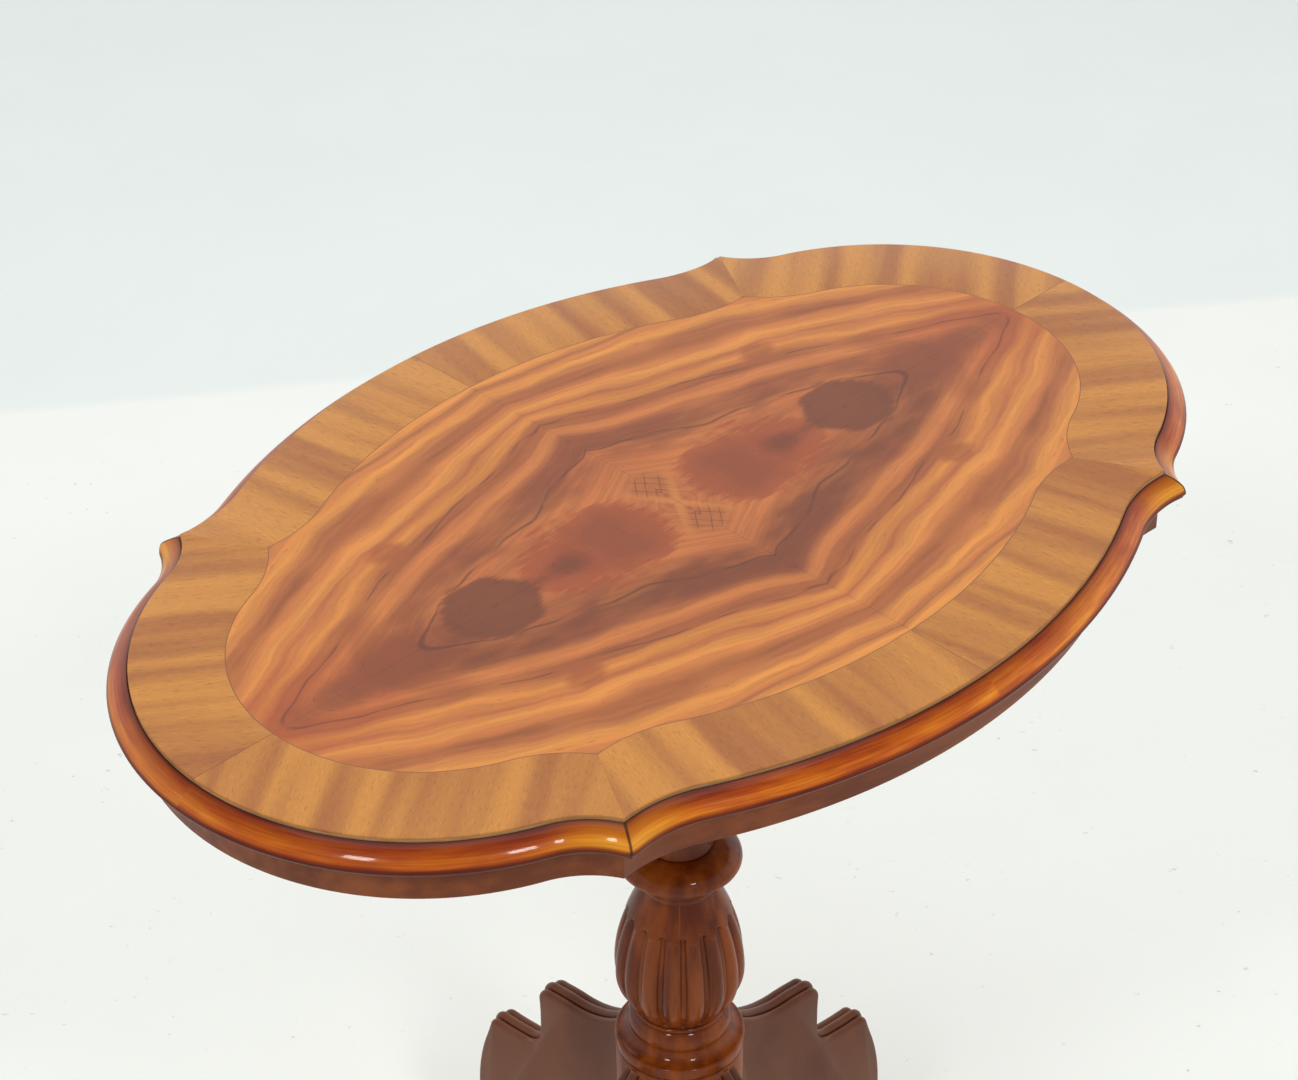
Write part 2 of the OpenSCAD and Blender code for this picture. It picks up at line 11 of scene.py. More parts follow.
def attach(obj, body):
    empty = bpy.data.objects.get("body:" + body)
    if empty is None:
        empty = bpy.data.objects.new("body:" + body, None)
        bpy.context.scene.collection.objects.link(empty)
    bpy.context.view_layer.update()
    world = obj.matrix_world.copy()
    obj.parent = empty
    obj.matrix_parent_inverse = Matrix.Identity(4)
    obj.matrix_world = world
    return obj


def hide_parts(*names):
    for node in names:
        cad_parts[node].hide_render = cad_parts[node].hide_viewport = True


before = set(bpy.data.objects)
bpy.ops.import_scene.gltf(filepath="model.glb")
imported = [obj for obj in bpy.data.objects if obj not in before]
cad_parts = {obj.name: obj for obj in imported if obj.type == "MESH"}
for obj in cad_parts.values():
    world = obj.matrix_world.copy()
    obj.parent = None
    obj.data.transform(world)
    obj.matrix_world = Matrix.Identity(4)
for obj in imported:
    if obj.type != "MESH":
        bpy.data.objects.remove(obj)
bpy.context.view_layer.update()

MM = 0.001
EAST, WEST, NORTH, SOUTH = 1, -1, 1, -1
QUARTERS = {"ne": (EAST, NORTH), "nw": (WEST, NORTH), "sw": (WEST, SOUTH), "se": (EAST, SOUTH)}

# ---- Camera: high on the near side, looking down along +X +Y -----------------------------

TOP_Z = 700.0
HEADING, PITCH, ROLL = math.radians(44.6841), math.radians(34.8266), math.radians(0.545)
EYE = Vector((-1.1186, -1.1062, 1.7668))

camera_data = bpy.data.cameras.new("camera")
camera_data.sensor_width = 36.0
camera_data.lens = 88.6
camera_data.dof.use_dof = False
camera_data.clip_end = 60.0
camera = bpy.data.objects.new("camera", camera_data)
bpy.context.scene.collection.objects.link(camera)
bpy.context.scene.camera = camera
forward = Vector((math.sin(HEADING) * math.cos(PITCH), math.cos(HEADING) * math.cos(PITCH), -math.sin(PITCH)))
sideways = Vector((math.cos(HEADING), -math.sin(HEADING), 0.0))
upright = sideways.cross(forward)
right = math.cos(ROLL) * sideways - math.sin(ROLL) * upright
above = math.sin(ROLL) * sideways + math.cos(ROLL) * upright
turn = Matrix((right, above, -forward)).transposed().to_4x4()
camera.matrix_world = Matrix.Translation(EYE) @ turn

# ---- Outline of the top, as in the CAD model ---------------------------------------------

END_C, END_R, END_SPAN = np.array([195.0, 0.0]), 170.0, 67.8
SIDE_C, SIDE_R, SIDE_SPAN = np.array([0.0, -157.5]), 395.0, 26.8
CUSP, BAND_CUSP, BAND_W = np.array([228.5, 185.8]), np.array([201.0, 138.0]), 54.0


def direction(degrees):
    """The unit vector that points at an angle in the plane of the top."""
    a = math.radians(degrees)
    return np.array([math.cos(a), math.sin(a)])


def bearing(v):
    """The angle of a vector in the plane of the top, in degrees."""
    return math.degrees(math.atan2(v[1], v[0])) % 360


def unit(v):
    """The vector of length 1 that points the same way."""
    return v / np.linalg.norm(v)


def hollow(centre, radius, way, corner):
    """The circle that leaves a lobe along its tangent and runs through the corner."""
    start = centre + radius * way
    v = corner - start
    r = v @ v / (2 * v @ way)
    return start + r * way, r


END_DIR, SIDE_DIR = direction(END_SPAN), direction(90 - SIDE_SPAN)
END_H = hollow(END_C, END_R, END_DIR, CUSP)
SIDE_H = hollow(SIDE_C, SIDE_R, SIDE_DIR, CUSP)
BAND_END_H = hollow(END_C, END_R - BAND_W, END_DIR, BAND_CUSP)
BAND_SIDE_H = hollow(SIDE_C, SIDE_R - BAND_W, SIDE_DIR, BAND_CUSP)
MITRE = unit(unit(END_H[0] - CUSP) + unit(SIDE_H[0] - CUSP))


def meet(centre, radius, corner, way, near):
    """Angle, on the circle, at which the line through the corner meets it nearest to near."""
    d = corner - centre
    b = d @ way
    root = math.sqrt(max(b * b - (d @ d - radius * radius), 0.0))
    points = [corner + (t - b) * way for t in (-root, root)]
    best = min(points, key=lambda p: np.linalg.norm(p - near))
    return bearing(best - centre)


def rail(kind, offset, n_lobe, n_hollow, band=False):
    """Points from the middle of a lobe to the corner, along the outline moved out by offset."""
    end = kind == "end"
    centre, radius = (END_C, END_R) if end else (SIDE_C, SIDE_R)
    if band:
        radius -= BAND_W
        hc, hr = BAND_END_H if end else BAND_SIDE_H
        corner, way = BAND_CUSP, unit(CUSP - BAND_CUSP)
    else:
        hc, hr = END_H if end else SIDE_H
        corner, way = CUSP, MITRE
    span = (0.0, END_SPAN) if end else (90.0, 90 - SIDE_SPAN)
    lobe = [centre + (radius + offset) * direction(span[0] + (span[1] - span[0]) * i / n_lobe)
            for i in range(n_lobe + 1)]
    a0 = bearing(-(END_DIR if end else SIDE_DIR))
    if band or offset == 0:
        a1 = bearing(corner - hc)
    else:
        a1 = meet(hc, hr - offset, corner, way, corner + offset * way)
    curve = [hc + (hr - offset) * direction(a0 + (a1 - a0) * i / n_hollow) for i in range(1, n_hollow + 1)]
    return np.array(lobe + curve)


# ---- Mesh helpers ------------------------------------------------------------------------

def make(name, verts, faces, materials, body, node, sharp, material_index=None, uv=None):
    """A mesh object, verts in millimetres, that rides on a body and stands for a CAD node."""
    data = bpy.data.meshes.new(name)
    data.from_pydata([tuple(MM * c for c in v) for v in verts], [], faces)
    for m in materials:
        data.materials.append(m)
    if material_index is not None:
        data.polygons.foreach_set("material_index", material_index)
    if uv is not None:
        layer = data.uv_layers.new(name="UVMap")
        for loop in data.loops:
            layer.data[loop.index].uv = uv[loop.vertex_index]
    data.validate()
    data.polygons.foreach_set("use_smooth", [True] * len(data.polygons))
    data.set_sharp_from_angle(angle=math.radians(sharp))
    data.update()
    obj = bpy.data.objects.new(name, data)
    bpy.context.scene.collection.objects.link(obj)
    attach(obj, body)
    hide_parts(node)
    return obj


def strip(rows, close=False, flip=False, caps=False):
    """Vertices and faces of a grid of points, its rows open or closed, with or without flat ends."""
    rows = np.asarray(rows, float)
    n, m = rows.shape[:2]
    verts = rows.reshape(-1, 3)
    faces = []
    for i in range(n - 1):
        for j in range(m if close else m - 1):
            a, b = i * m + j, i * m + (j + 1) % m
            c, d = b + m, a + m
            faces.append((a, d, c, b) if flip else (a, b, c, d))
    if caps:
        first, last = list(range(m)), list(range((n - 1) * m, n * m))
        faces.append(tuple(first if flip else first[::-1]))
        faces.append(tuple(last[::-1] if flip else last))
    return verts, faces


def lathe(profile, steps=128):
    """A turned solid from (radius, height) pairs that start and end on the axis."""
    angles = np.linspace(0, 2 * math.pi, steps, endpoint=False)
    inner = profile[1:-1]
    rows = [[(r * math.cos(a), r * math.sin(a), z) for a in angles] for r, z in inner]
    verts, faces = strip(rows, close=True)
    verts = np.vstack([verts, [(0, 0, profile[0][1]), (0, 0, profile[-1][1])]])
    low, high = len(verts) - 2, len(verts) - 1
    last = (len(inner) - 1) * steps
    for i in range(steps):
        j = (i + 1) % steps
        faces.append((low, j, i))
        faces.append((high, last + i, last + j))
    return verts, faces


def spline(points, per=8):
    """A smooth curve through the points, per steps a span."""
    p = np.array(points, float)
    p = np.vstack([2 * p[0] - p[1], p, 2 * p[-1] - p[-2]])
    out = []
    for i in range(1, len(p) - 2):
        for k in range(per):
            t = k / per
            out.append(0.5 * (2 * p[i] + (p[i + 1] - p[i - 1]) * t
                              + (2 * p[i - 1] - 5 * p[i] + 4 * p[i + 1] - p[i + 2]) * t ** 2
                              + (3 * p[i] - p[i - 1] - 3 * p[i + 1] + p[i + 2]) * t ** 3))
    out.append(p[-2])
    return [tuple(q) for q in out]


def arc(cx, cy, rx, a0, a1, n, ry=None):
    """Points on a circle, or on an oval with ry, from angle a0 to a1 in n steps."""
    ry = rx if ry is None else ry
    return [(cx + rx * math.cos(math.radians(a0 + (a1 - a0) * i / n)),
             cy + ry * math.sin(math.radians(a0 + (a1 - a0) * i / n))) for i in range(n + 1)]


# ---- Shader helpers ----------------------------------------------------------------------

def colour(code):
    """Linear colour from an sRGB hex code."""
    srgb = [int(code[i:i + 2], 16) / 255 for i in (0, 2, 4)]
    return tuple(c / 12.92 if c <= 0.04045 else ((c + 0.055) / 1.055) ** 2.4 for c in srgb) + (1.0,)


def smooth_range(tree, source, low, high, a, b):
    """Smooth step of a socket's value from low to high, as a to b."""
    node = tree.nodes.new("ShaderNodeMapRange")
    node.interpolation_type = "SMOOTHSTEP"
    for name, value in (("From Min", low), ("From Max", high), ("To Min", a), ("To Max", b)):
        node.inputs[name].default_value = value
    tree.links.new(source, node.inputs["Value"])
    return node.outputs[0]


class Graph:
    """Builds one material's node tree."""

    def __init__(self, name):
        self.material = bpy.data.materials.new(name)
        self.material.use_nodes = True
        self.tree = self.material.node_tree
        self.tree.nodes.clear()
        self.out = self.tree.nodes.new("ShaderNodeOutputMaterial")
        self.shader = self.tree.nodes.new("ShaderNodeBsdfPrincipled")
        self.tree.links.new(self.shader.outputs[0], self.out.inputs[0])

    def put(self, socket, value):
        if isinstance(value, bpy.types.NodeSocket):
            self.tree.links.new(value, socket)
        else:
            socket.default_value = value

    def math(self, operation, a, b=0.0):
        node = self.tree.nodes.new("ShaderNodeMath")
        node.operation = operation
        self.put(node.inputs[0], a)
        self.put(node.inputs[1], b)
        return node.outputs[0]

    def add(self, a, b):
        return self.math("ADD", a, b)

    def sub(self, a, b):
        return self.math("SUBTRACT", a, b)

    def mul(self, a, b):
        return self.math("MULTIPLY", a, b)

    def absolute(self, a):
        return self.math("ABSOLUTE", a)

    def object_xyz(self):
        """Place in the object's own frame, in millimetres."""
        coords = self.tree.nodes.new("ShaderNodeTexCoord")
        split = self.tree.nodes.new("ShaderNodeSeparateXYZ")
        scaled = self.tree.nodes.new("ShaderNodeVectorMath")
        scaled.operation = "SCALE"
        scaled.inputs["Scale"].default_value = 1 / MM
        self.tree.links.new(coords.outputs["Object"], scaled.inputs[0])
        self.tree.links.new(scaled.outputs[0], split.inputs[0])
        return split.outputs[0], split.outputs[1], split.outputs[2]

    def uv(self):
        coords = self.tree.nodes.new("ShaderNodeTexCoord")
        split = self.tree.nodes.new("ShaderNodeSeparateXYZ")
        self.tree.links.new(coords.outputs["UV"], split.inputs[0])
        return split.outputs[0], split.outputs[1]

    def vector(self, x, y, z=0.0):
        node = self.tree.nodes.new("ShaderNodeCombineXYZ")
        for socket, v in zip(node.inputs, (x, y, z)):
            self.put(socket, v)
        return node.outputs[0]

    def noise(self, vec, detail=2.0, rough=0.5):
        node = self.tree.nodes.new("ShaderNodeTexNoise")
        node.inputs["Scale"].default_value = 1.0
        node.inputs["Detail"].default_value = detail
        node.inputs["Roughness"].default_value = rough
        self.put(node.inputs["Vector"], vec)
        return node.outputs[0]

    def rise(self, value, low, high, a=0.0, b=1.0):
        """Smooth step of value from low to high, as a to b. Low may be over high."""
        if low > high:
            low, high, a, b = high, low, b, a
        return smooth_range(self.tree, value, low, high, a, b)

    def ramp(self, value, stops):
        """Colour from (place, hex code) pairs."""
        node = self.tree.nodes.new("ShaderNodeValToRGB")
        elements = node.color_ramp.elements
        elements[0].position, elements[0].color = stops[0][0], colour(stops[0][1])
        elements[1].position, elements[1].color = stops[-1][0], colour(stops[-1][1])
        for place, code in stops[1:-1]:
            elements.new(place).color = colour(code)
        self.put(node.inputs[0], value)
        return node.outputs[0]

    def mix(self, factor, a, b, mode="MIX"):
        node = self.tree.nodes.new("ShaderNodeMix")
        node.data_type = "RGBA"
        node.blend_type = mode
        self.put(node.inputs[0], factor)
        self.put(node.inputs[6], colour(a) if isinstance(a, str) else a)
        self.put(node.inputs[7], colour(b) if isinstance(b, str) else b)
        return node.outputs[2]

    def shade(self, tone, value):
        """Multiplies a colour by a grey value."""
        return self.mix(1.0, tone, self.vector(value, value, value), "MULTIPLY")

    def wear_and_painted_light(self, tone, edge, groove_shade):
        """Pale edges, partly rubbed wear and partly painted highlight, and painted shade in the grooves, from
        the mesh's own curvature.
        """
        sharpness = self.tree.nodes.new("ShaderNodeNewGeometry").outputs["Pointiness"]
        tone = self.mix(self.rise(sharpness, 0.53, 0.60, 0.0, 0.75), tone, edge)
        return self.mix(self.rise(sharpness, 0.485, 0.42, 0.0, 0.8), tone, groove_shade)

    def bump(self, height, distance, strength):
        node = self.tree.nodes.new("ShaderNodeBump")
        node.inputs["Strength"].default_value = strength
        node.inputs["Distance"].default_value = distance
        self.put(node.inputs["Height"], height)
        self.tree.links.new(node.outputs[0], self.shader.inputs["Normal"])

    def finish(self, base, rough, coat=0.0, coat_rough=0.1, specular=0.5, metallic=0.0):
        self.put(self.shader.inputs["Base Color"], colour(base) if isinstance(base, str) else base)
        self.put(self.shader.inputs["Roughness"], rough)
        self.shader.inputs["Metallic"].default_value = metallic
        self.shader.inputs["Specular IOR Level"].default_value = specular
        self.shader.inputs["Coat Weight"].default_value = coat
        self.shader.inputs["Coat Roughness"].default_value = coat_rough
        return self.material


# ---- Materials ---------------------------------------------------------------------------

def folded(g):
    """Distances from the two joints of the book-matched top, then the signed places they come from."""
    x, y, _ = g.object_xyz()
    return g.absolute(x), g.absolute(y), x, y


def blob(g, x, y, cx, cy, rx, ry, wobble):
    """Distance from an oval's centre, 1 at its edge, with a wobble added."""
    u = g.mul(g.sub(x, cx), 1.0 / rx)
    v = g.mul(g.sub(y, cy), 1.0 / ry)
    d = g.math("SQRT", g.add(g.mul(u, u), g.mul(v, v)))
    return g.add(d, wobble)


def flame_veneer():
    """Figured veneer: bands along a long diamond, and dark stains on its long joint."""
    g = Graph("flame_veneer")
    x, y, sx, sy = folded(g)

    def stain(base, place, radii, wobble, fade, weight, code):
        """Lays a colour over an oval patch with a ragged rim."""
        return g.mix(g.rise(blob(g, x, y, *place, *radii, wobble), *fade, 0.0, weight), base, code)

    slow = g.sub(g.noise(g.vector(g.mul(x, 0.011), g.mul(y, 0.022), 3.1), 2.0), 0.5)
    quick = g.sub(g.noise(g.vector(g.mul(x, 0.020), g.mul(y, 0.06), 7.7), 3.0, 0.55), 0.5)
    warp = g.add(g.mul(slow, 15.0), g.mul(quick, 4.0))
    slope = g.rise(y, 40.0, 170.0, 0.235, 0.12)
    rounding = g.sub(1.0, g.math("EXPONENT", g.mul(x, -1 / 24.0)))
    peak = g.mul(g.mul(rounding, 12.0), g.rise(y, 165.0, 90.0, 0.25, 1.0))
    beyond = g.mul(g.math("MAXIMUM", g.sub(x, 170.0), 0.0), 0.13)
    rounded = g.sub(g.math("SQRT", g.add(g.mul(y, y), 20.0 ** 2)), 4.0)
    level = g.add(g.add(g.add(rounded, g.mul(slope, x)), g.add(peak, beyond)), warp)
    bands = g.ramp(g.mul(level, 1 / 210.0), [
        (0.00, "a9603a"), (0.25, "ae663a"), (0.375, "a45c36"), (0.392, "7e452b"), (0.405, "8b4a2e"),
        (0.455, "914f31"), (0.49, "bd7540"), (0.51, "b97040"), (0.54, "94532f"), (0.57, "9b5934"),
        (0.60, "c8843f"), (0.635, "a9623a"), (0.665, "cf8c46"), (0.69, "bd7540"), (0.72, "96562f"),
        (0.75, "a4623a"), (0.78, "d08d45"), (0.805, "bf7840"), (0.825, "a3643c"), (0.85, "cc8843"),
        (0.90, "d3914a"), (0.94, "c37f45"), (1.00, "d08f4c")])
    # The bands come and go along their length
    fade = g.noise(g.vector(g.mul(x, 0.012), g.mul(y, 0.012), 11.0), 2.0)
    tone = g.mix(g.rise(fade, 0.42, 0.72, 0.0, 0.4), bands, "c47c42")
    # Fine lines that follow the bands
    fine = g.noise(g.vector(g.mul(level, 0.33), g.mul(g.sub(x, g.mul(y, 0.3)), 0.012), 2.0), 4.0, 0.6)
    tone = g.shade(tone, g.rise(fine, 0.32, 0.68, 0.86, 1.12))
    # A dark cloud along the inner bands, stronger on the near side
    near = g.rise(sy, 15.0, -15.0)
    cloud = g.noise(g.vector(g.mul(x, 0.012), g.mul(y, 0.03), 15.0), 3.0, 0.6)
    inner_band = g.mul(g.rise(level, 56.0, 74.0), g.rise(level, 108.0, 88.0))
    weight = g.mul(inner_band, g.add(g.mul(near, 0.45), g.rise(cloud, 0.42, 0.62, 0.0, 0.45)))
    tone = g.mix(weight, tone, "703a24")
    # Red towards the ends
    tone = g.mix(g.mul(g.rise(x, 175.0, 250.0), g.rise(y, 60.0, 5.0, 0.0, 0.55)), tone, "a8532f")
    # Brown clouds along the long joint
    jag = g.sub(g.noise(g.vector(g.mul(x, 0.020), g.mul(y, 0.24), 5.0), 3.0, 0.75), 0.5)
    soft = g.sub(g.noise(g.vector(g.mul(x, 0.035), g.mul(y, 0.035), 9.0), 3.0, 0.6), 0.5)
    tone = stain(tone, (262.0, 0.0), (42.0, 15.0), g.mul(soft, 1.3), (1.25, 0.25), 0.75, "7d4329")
    tone = stain(tone, (222.0, 0.0), (34.0, 22.0), g.mul(soft, 1.6), (1.3, 0.4), 0.72, "7a3f27")
    arm = g.absolute(g.add(g.sub(x, 243.0), g.mul(y, 0.75)))
    arm_weight = g.mul(g.rise(arm, 16.0, 4.0), g.rise(y, 62.0, 20.0, 0.0, 0.55))
    tone = g.mix(arm_weight, tone, "84462a")
    ragged = g.add(g.mul(jag, 0.9), g.mul(soft, 0.9))
    tone = stain(tone, (60.0, 0.0), (46.0, 37.0), ragged, (1.10, 0.84), 0.85, "96492b")
    torn = g.add(g.mul(jag, 1.4), g.mul(soft, 0.6))
    tone = stain(tone, (96.0, 3.0), (24.0, 24.0), torn, (1.15, 0.85), 0.8, "94482b")
    tone = stain(tone, (91.0, 0.0), (17.0, 12.0), g.mul(soft, 1.2), (1.4, 0.2), 0.8, "6a3623")
    tone = stain(tone, (58.0, 10.0), (30.0, 18.0), g.mul(soft, 1.6), (1.5, 0.2), 0.55, "723c26")
    tone = stain(tone, (118.0, 0.0), (12.0, 5.0), g.mul(soft, 1.0), (1.4, 0.3), 0.8, "7a3f27")
    frayed = g.add(g.mul(jag, 0.7), g.mul(soft, 0.8))
    tone = stain(tone, (150.0, 2.0), (31.0, 26.0), frayed, (1.14, 0.84), 0.9, "6d3a26")
    tone = stain(tone, (157.0, 84.0), (15.0, 8.0), g.mul(soft, 1.2), (1.2, 0.5), 0.65, "90482a")
    # Pale wedges either side of the middle
    wedge = g.absolute(g.sub(x, g.mul(y, 0.62)))
    wedge_weight = g.mul(g.rise(wedge, 5.0, 1.5), g.rise(y, 34.0, 14.0, 0.0, 0.4))
    tone = g.mix(wedge_weight, tone, "cf8c4a")
    # Dark veins that wander along the bands, and a knot of crossed marks by the centre
    for at, wander, reach, seed in ((79.0, 26.0, 0.62, 20.0), (117.0, 20.0, 0.5, 31.0)):
        slack = g.sub(g.noise(g.vector(g.mul(x, 0.016), g.mul(y, 0.016), seed), 1.5, 0.5), 0.5)
        drift = g.mul(slack, wander)
        gap = g.absolute(g.sub(g.sub(level, at), drift))
        seen = g.rise(g.noise(g.vector(g.mul(x, 0.02), g.mul(y, 0.03), seed + 5), 1.0), 0.42, 0.55)
        tone = g.mix(g.mul(g.rise(gap, 1.1, 0.2, 0.0, reach), seen), tone, "4e2a1c")
    cross = blob(g, x, y, 1.0, 24.0, 15.0, 15.0, g.mul(soft, 0.5))
    one = g.absolute(g.sub(g.math("FRACT", g.mul(g.add(x, g.mul(y, 0.8)), 1 / 7.5)), 0.5))
    two = g.absolute(g.sub(g.math("FRACT", g.mul(g.sub(x, g.mul(y, 0.8)), 1 / 11.0)), 0.5))
    lines = g.math("MAXIMUM", g.rise(one, 0.42, 0.48), g.rise(two, 0.44, 0.48))
    tone = g.mix(g.rise(cross, 1.3, 0.5, 0.0, 0.35), tone, "8a5234")
    tone = g.mix(g.mul(lines, g.rise(cross, 1.0, 0.6, 0.0, 0.65)), tone, "5a3122")
    # Pores
    pores = g.noise(g.vector(g.mul(level, 0.8), g.mul(g.sub(x, g.mul(y, 0.3)), 0.10), 4.0), 3.0, 0.65)
    tone = g.shade(tone, g.rise(pores, 0.28, 0.42, 0.78, 1.0))
    tone = g.mix(1.0, tone, (1.0, 0.90, 0.68, 1.0), "MULTIPLY")
    joint = g.math("MINIMUM", g.absolute(sx), g.absolute(sy))
    tone = g.shade(tone, g.rise(joint, 0.15, 0.4, 0.8, 1.0))
    g.bump(g.noise(g.vector(g.mul(sx, 0.02), g.mul(sy, 0.02)), 2.0), 0.0006, 0.15)
    return g.finish(tone, 0.38, coat=0.08, coat_rough=0.16, specular=0.25)


def band_veneer(kind):
    """Crossbanding, its grain set at one angle along the ends and another along the sides."""
    g = Graph("band_veneer_" + kind)
    x, y, sx, sy = folded(g)
    gx, gy = direction(78.0 if kind == "side" else 36.0)
    along = g.add(g.mul(x, gx), g.mul(y, gy))
    across = g.sub(g.mul(x, gy), g.mul(y, gx))
    seed = g.add(g.mul(g.math("SIGN", sx), 3.7), g.mul(g.math("SIGN", sy), 8.3))
    bend = g.mul(g.sub(g.noise(g.vector(g.mul(x, 0.012), g.mul(y, 0.012), seed), 2.0), 0.5), 12.0)
    line = g.add(across, bend)
    wide = g.noise(g.vector(g.mul(line, 0.048), g.mul(along, 0.003), seed), 1.0, 0.4)
    narrow = g.noise(g.vector(g.mul(line, 0.22), g.mul(along, 0.006), seed), 2.0, 0.5)
    tone = g.ramp(g.add(g.mul(wide, 0.88), g.mul(narrow, 0.12)), [
        (0.30, "c18137"), (0.42, "bd7d34"), (0.52, "af7131"), (0.61, "a2632d"), (0.72, "985a2a")])
    pores = g.noise(g.vector(g.mul(line, 0.9), g.mul(along, 0.16), seed), 3.0, 0.65)
    tone = g.shade(tone, g.rise(pores, 0.30, 0.46, 0.74, 1.0))
    tone = g.shade(tone, g.rise(pores, 0.56, 0.68, 1.0, 1.16))
    joint = g.absolute(sx if kind == "side" else sy)
    tone = g.shade(tone, g.rise(joint, 0.15, 0.45, 0.6, 1.0))
    g.bump(pores, 0.00006, 0.5)
    return g.finish(tone, 0.42, coat=0.08, coat_rough=0.2, specular=0.25)


def edge_wood():
    """UV: the distance from the mitre in decimetres, and the place across the section, 0 to 1."""
    g = Graph("edge_wood")
    x, y, _ = g.object_xyz()
    u, v = g.uv()
    seed = g.add(g.mul(g.math("SIGN", x), 2.3), g.mul(g.math("SIGN", y), 5.9))
    slow = g.noise(g.vector(g.mul(u, 1.3), g.mul(v, 1.2), seed), 3.0, 0.55)
    fine = g.noise(g.vector(g.mul(u, 2.5), g.mul(v, 22.0), seed), 3.0, 0.6)
    tone = g.ramp(g.add(g.mul(slow, 0.8), g.mul(fine, 0.2)), [
        (0.30, "8c3606"), (0.42, "b4540c"), (0.50, "c86c10"), (0.60, "d98618"), (0.72, "e09a24")])
    tone = g.mix(g.rise(x, -150.0, -290.0, 0.0, 0.4), tone, "943a06")
    tone = g.mix(g.rise(u, 0.50, 0.10, 0.0, 0.75), tone, "d8901e")
    # Painted light and shade across the section: painted shade in the quirk, the crown lit at full tone,
    # painted shade under the nose and a painted glint along the lower bead
    across = g.ramp(v, [
        (0.0, "6a4432"), (0.055, "7c5440"), (0.085, "a07858"), (0.16, "bc9878"), (0.32, "dcc0a4"),
        (0.44, "ffffff"), (0.57, "ffffff"), (0.64, "a87c5e"), (0.70, "6e4834"), (0.84, "4a3022"),
        (0.90, "8a6450"), (1.0, "5c4032")])
    tone = g.mix(1.0, tone, across, "MULTIPLY")
    tone = g.shade(tone, g.rise(fine, 0.3, 0.7, 0.88, 1.10))
    tone = g.mix(g.rise(u, 0.012, 0.004, 0.0, 0.85), tone, "2c0f07")
    g.bump(fine, 0.00008, 0.3)
    return g.finish(tone, 0.34, coat=0.32, coat_rough=0.07, specular=0.08)


def plain_wood(name, dark, light, rough, coat, coat_rough, along="z", stretch=0.02, cross=0.25,
               specular=0.2, edge=None, groove_shade=None):
    """A straight-grained wood, its grain along one axis of the object."""
    g = Graph(name)
    x, y, z = g.object_xyz()
    scale = [stretch if axis == along else cross for axis in "xyz"]
    place = list(zip((x, y, z), scale))
    fine = g.noise(g.vector(*[g.mul(at, k) for at, k in place]), 4.0, 0.6)
    slow = g.noise(g.vector(*[g.mul(at, k * 0.25) for at, k in place]), 2.0)
    tone = g.mix(g.rise(g.add(g.mul(slow, 0.6), g.mul(fine, 0.4)), 0.36, 0.64), dark, light)
    # Pale edges (partly wear, partly painted highlight) and painted shade in the grooves
    if edge:
        tone = g.wear_and_painted_light(tone, edge, groove_shade)
    g.bump(fine, 0.00006, 0.35)
    return g.finish(tone, rough, coat=coat, coat_rough=coat_rough, specular=specular)


def metal(name, dark, light, rough, metallic=1.0):
    """A plain metal with slow changes of tone."""
    g = Graph(name)
    x, y, z = g.object_xyz()
    cloud = g.noise(g.vector(g.mul(x, 0.08), g.mul(y, 0.08), g.mul(z, 0.08)), 3.0)
    return g.finish(g.mix(g.rise(cloud, 0.3, 0.7), dark, light), rough, metallic=metallic)


FLAME = flame_veneer()
BAND = {"end": band_veneer("end"), "side": band_veneer("side")}
JOINT = Graph("joint_line").finish("744424", 0.5)
EDGE = edge_wood()
APRON = plain_wood("apron_wood", "652c0c", "82421a", 0.46, 0.0, 0.25,
                   along="x", stretch=0.006, cross=0.12)
# The column gets painted shade in the grooves between its reeds; its edge colour matches its light tone
COLUMN = plain_wood("column_wood", "5a2205", "86400f", 0.40, 0.36, 0.07, stretch=0.012, cross=0.12,
                    specular=0.05, edge="86400f", groove_shade="1e0802")
# The legs get painted shade in the valleys of their reeds and pale edges that are partly wear, partly painted
# highlight
LEG = plain_wood("leg_wood", "5a2c15", "6c3c22", 0.45, 0.2, 0.2, cross=0.04,
                 specular=0.12, edge="80502f", groove_shade="2a1208")
BEARER = plain_wood("bearer_wood", "4a2a18", "66402a", 0.55, 0.1, 0.3,
                    along="y", stretch=0.012, cross=0.15)
CORE = plain_wood("core_wood", "9a7450", "b48d64", 0.7, 0.0, 0.3,
                  along="x", stretch=0.010, cross=0.12)
WEDGE = plain_wood("wedge_wood", "b08a5c", "c9a878", 0.7, 0.0, 0.3)
BRASS = metal("brass", "8f6d2c", "bd9745", 0.34)
STEEL = metal("steel", "7f7d79", "a3a19c", 0.36)
IRON = metal("iron", "151413", "24211e", 0.55, 0.0)

# ---- The veneered surface ----------------------------------------------------------------

N_LOBE, N_HOLLOW = 44, {"end": 20, "side": 16}
LINE = 0.25
VENEER_BOTTOM = TOP_Z - 1.2


def mirrored(verts, faces, sx, sy):
    """The north-east quarter's piece, moved into another quarter with its faces still outwards."""
    verts = np.array(verts) * (sx, sy, 1)
    if sx * sy < 0:
        faces = [f[::-1] for f in faces]
    return verts, faces


